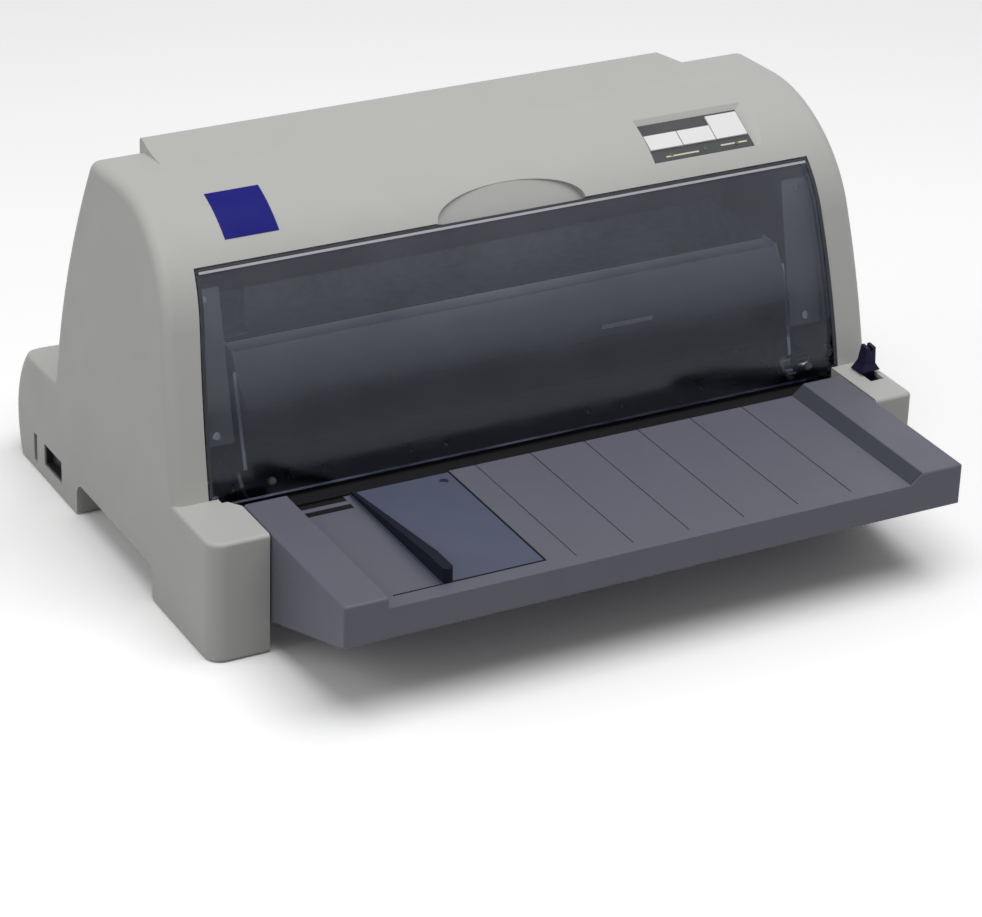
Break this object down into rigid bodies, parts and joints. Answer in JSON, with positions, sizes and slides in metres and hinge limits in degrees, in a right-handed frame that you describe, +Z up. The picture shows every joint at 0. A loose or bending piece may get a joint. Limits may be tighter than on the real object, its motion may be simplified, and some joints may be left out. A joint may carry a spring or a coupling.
{
  "type": "dot matrix printer",
  "caption": "Flatbed dot matrix printer with a smoked hinged front cover, a hinged rear cover, a front paper tray with a sliding edge guide and a working paper feed.",
  "frame": {"origin": "on the table under the middle of the printer's footprint, tray included", "axes": "+X to the right of a person at the front, +Y from the paper tray to the back, +Z up"},
  "size_m": [0.468, 0.3925, 0.2383],
  "materials": {
    "housing_grey": "satin",
    "tray_grey": "satin",
    "smoke": "polished",
    "clear_guard": "polished",
    "badge_blue": "gloss",
    "panel_dark": "matte",
    "key_white": "satin",
    "lens_green": "gloss",
    "guide_blue": "satin",
    "fence_navy": "satin",
    "lever_navy": "satin",
    "black_plastic": "satin",
    "gear_white": "satin",
    "rubber_black": "matte",
    "steel": "brushed",
    "zinc_steel": "satin",
    "board_green": "satin",
    "head_aluminium": "satin",
    "ribbon_fabric": "matte"
  },
  "bodies": {
    "case": {"upper_housing": "housing_grey", "lower_case": "housing_grey", "rubber_feet": "rubber_black", "case_screws": "steel", "hinge_pins": "steel", "badge_plate": "badge_blue", "panel_overlay": "panel_dark", "indicator_lenses": "lens_green", "control_board": "board_green", "paper_tray": "tray_grey", "side_frame_left": "zinc_steel", "side_frame_right": "zinc_steel", "shaft_bushes": "black_plastic", "front_rail": "zinc_steel", "rear_beam": "zinc_steel", "guide_shaft": "steel", "paper_entry_plate": "black_plastic", "inner_guard": "clear_guard", "rear_paper_guide": "black_plastic", "tractor_support_shaft": "steel", "timing_belt": "rubber_black", "carriage_motor": "zinc_steel", "feed_motor": "zinc_steel", "ribbon_cartridge": "black_plastic", "ink_ribbon": "ribbon_fabric", "switch_housing": "black_plastic", "ac_inlet": "black_plastic", "parallel_connector": "zinc_steel", "usb_connector": "zinc_steel", "main_board": "board_green", "power_supply": "board_green"},
    "front_cover_body": {"front_cover": "smoke"},
    "rear_cover_body": {"rear_cover": "housing_grey"},
    "edge_guide": {"edge_guide_plate": "guide_blue", "edge_guide_fence": "fence_navy"},
    "lever_body": {"release_lever": "lever_navy"},
    "rocker_body": {"power_rocker": "black_plastic"},
    "pause_key": {"pause_button": "key_white"},
    "feed_key": {"feed_button": "key_white"},
    "load_key": {"load_button": "key_white"},
    "platen": {"platen_roller": "rubber_black", "platen_shaft": "steel", "platen_knob": "black_plastic", "platen_gear": "gear_white"},
    "pinion": {"feed_pinion": "gear_white"},
    "front_idler": {"front_idler_gear": "gear_white"},
    "front_feed": {"front_feed_shaft": "steel", "front_feed_rollers": "rubber_black"},
    "tractor_idler": {"tractor_idler_gear": "gear_white"},
    "tractor_drive": {"tractor_drive_shaft": "steel"},
    "tractor_a": {"tractor_left": "black_plastic"},
    "tractor_b": {"tractor_right": "black_plastic"},
    "lid_a": {"tractor_lid_left": "black_plastic"},
    "lid_b": {"tractor_lid_right": "black_plastic"},
    "sprocket_a": {"sprocket_left": "gear_white"},
    "sprocket_b": {"sprocket_right": "gear_white"},
    "carriage_body": {"carriage": "black_plastic", "print_head": "head_aluminium"},
    "motor_pulley_body": {"motor_pulley": "gear_white"},
    "idler_pulley_body": {"idler_pulley": "gear_white"}
  },
  "joints": [
    {"name": "front_cover_hinge", "type": "hinge", "parent": "case", "child": "front_cover_body", "pos_m": [0, -0.0455, 0.084], "axis": [1, 0, 0], "range_deg": [0, 90]},
    {"name": "rear_cover_hinge", "type": "hinge", "parent": "case", "child": "rear_cover_body", "pos_m": [0, 0.092, 0.2195], "axis": [1, 0, 0], "range_deg": [0, 75]},
    {"name": "edge_guide_slide", "type": "slide", "parent": "case", "child": "edge_guide", "axis": [-1, 0, 0], "range_m": [0, 0.035]},
    {"name": "release_lever_hinge", "type": "hinge", "parent": "case", "child": "lever_body", "pos_m": [0.224, -0.062, 0.034], "axis": [1, 0, 0], "range_deg": [0, 9]},
    {"name": "power_rocker_hinge", "type": "hinge", "parent": "case", "child": "rocker_body", "pos_m": [-0.2262, 0.133, 0.0175], "axis": [0, 0, 1], "range_deg": [0, 12]},
    {"name": "pause_press", "type": "slide", "parent": "case", "child": "pause_key", "axis": [0, 0.4879, -0.8729], "range_m": [0, 0.0007], "stiffness_N_per_m": 300},
    {"name": "feed_press", "type": "slide", "parent": "case", "child": "feed_key", "axis": [0, 0.4879, -0.8729], "range_m": [0, 0.0007], "stiffness_N_per_m": 300},
    {"name": "load_press", "type": "slide", "parent": "case", "child": "load_key", "axis": [0, 0.4879, -0.8729], "range_m": [0, 0.0007], "stiffness_N_per_m": 300},
    {"name": "platen_turn", "type": "hinge", "parent": "case", "child": "platen", "pos_m": [0, 0.02, 0.056], "axis": [1, 0, 0], "continuous": true},
    {"name": "feed_pinion_turn", "type": "hinge", "parent": "case", "child": "pinion", "pos_m": [0.19, 0.02854, 0.08788], "axis": [1, 0, 0], "continuous": true},
    {"name": "front_idler_turn", "type": "hinge", "parent": "case", "child": "front_idler", "pos_m": [0.19, -0.01397, 0.04999], "axis": [1, 0, 0], "continuous": true},
    {"name": "front_feed_turn", "type": "hinge", "parent": "case", "child": "front_feed", "pos_m": [0, -0.027, 0.0645], "axis": [1, 0, 0], "continuous": true},
    {"name": "tractor_idler_turn", "type": "hinge", "parent": "case", "child": "tractor_idler", "pos_m": [0.19, 0.06361, 0.0671], "axis": [1, 0, 0], "continuous": true},
    {"name": "tractor_drive_turn", "type": "hinge", "parent": "case", "child": "tractor_drive", "pos_m": [0, 0.102, 0.08], "axis": [1, 0, 0], "continuous": true},
    {"name": "tractor_left_slide", "type": "slide", "parent": "case", "child": "tractor_a", "axis": [1, 0, 0], "range_m": [-0.04, 0.09]},
    {"name": "tractor_right_slide", "type": "slide", "parent": "case", "child": "tractor_b", "axis": [1, 0, 0], "range_m": [-0.09, 0.04]},
    {"name": "tractor_lid_left_hinge", "type": "hinge", "parent": "tractor_a", "child": "lid_a", "pos_m": [-0.126, 0.097, 0.0936], "axis": [0, 1, 0], "range_deg": [-90, 0]},
    {"name": "tractor_lid_right_hinge", "type": "hinge", "parent": "tractor_b", "child": "lid_b", "pos_m": [0.126, 0.097, 0.0936], "axis": [0, 1, 0], "range_deg": [0, 90]},
    {"name": "sprocket_left_turn", "type": "hinge", "parent": "tractor_a", "child": "sprocket_a", "pos_m": [-0.12, 0.102, 0.08], "axis": [1, 0, 0], "continuous": true},
    {"name": "sprocket_right_turn", "type": "hinge", "parent": "tractor_b", "child": "sprocket_b", "pos_m": [0.12, 0.102, 0.08], "axis": [1, 0, 0], "continuous": true},
    {"name": "carriage_slide", "type": "slide", "parent": "case", "child": "carriage_body", "axis": [1, 0, 0], "range_m": [-0.145, 0.095]},
    {"name": "motor_pulley_turn", "type": "hinge", "parent": "case", "child": "motor_pulley_body", "pos_m": [-0.16, 0.072, 0.113], "axis": [0, 0, 1], "range_deg": [-1006, 661]},
    {"name": "idler_pulley_turn", "type": "hinge", "parent": "case", "child": "idler_pulley_body", "pos_m": [0.16, 0.072, 0.113], "axis": [0, 0, 1], "range_deg": [-1006, 661]}
  ],
  "couplings": [
    {"joint": "feed_pinion_turn", "follows": "platen_turn", "ratio": -2.6667},
    {"joint": "front_idler_turn", "follows": "platen_turn", "ratio": -2.2857},
    {"joint": "front_feed_turn", "follows": "platen_turn", "ratio": 2.6667},
    {"joint": "tractor_idler_turn", "follows": "platen_turn", "ratio": -1.1429},
    {"joint": "tractor_drive_turn", "follows": "platen_turn", "ratio": 1.2308},
    {"joint": "sprocket_left_turn", "follows": "platen_turn", "ratio": 1.2308},
    {"joint": "sprocket_right_turn", "follows": "platen_turn", "ratio": 1.2308},
    {"joint": "motor_pulley_turn", "follows": "carriage_slide", "rad_per_m": 120.48},
    {"joint": "idler_pulley_turn", "follows": "carriage_slide", "rad_per_m": 120.48}
  ]
}
